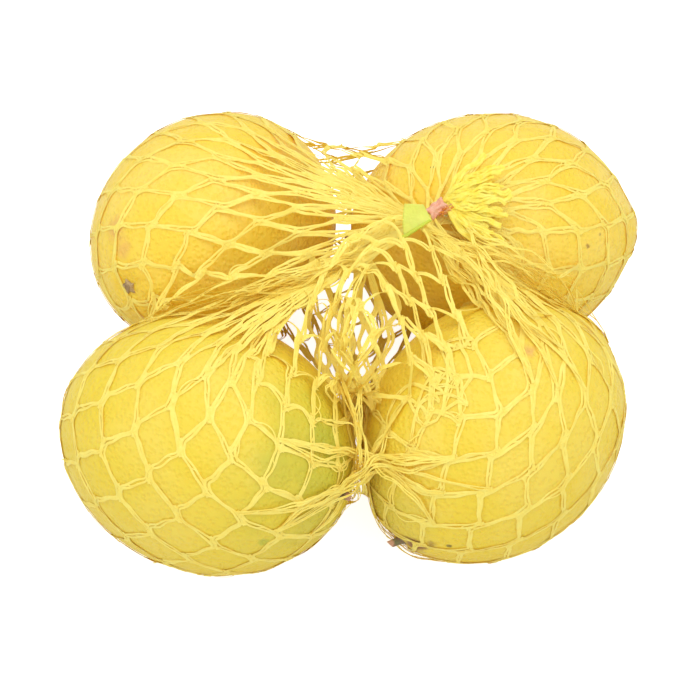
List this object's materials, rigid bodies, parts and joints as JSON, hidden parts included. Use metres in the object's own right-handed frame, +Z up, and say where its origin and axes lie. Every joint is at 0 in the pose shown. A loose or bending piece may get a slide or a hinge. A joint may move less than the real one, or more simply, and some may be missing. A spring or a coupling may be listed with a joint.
{
  "type": "net of lemons",
  "caption": "Small knitted net bag of whole lemons, gathered at the top by a clip with a folded film tag and a short tuft of spare net.",
  "frame": {"origin": "centre of the footprint on the floor, under the four lemons", "axes": "+X across the front to the right, +Y away from the front towards the back pair, +Z up from the floor"},
  "size_m": [0.1462, 0.1361, 0.0669],
  "materials": {
    "peel": "waxy lemon peel with fine pores, under a pale yellow net",
    "net": "knitted plastic yarn, bright yellow, slightly translucent",
    "clip": "pinkish orange, worn",
    "tag": "lime green film, plain",
    "stem": "dry green brown stem end"
  },
  "bodies": {
    "root": {"filled_net": "peel", "clip": "clip", "tag": "tag", "net_tail": "net"}
  },
  "joints": []
}
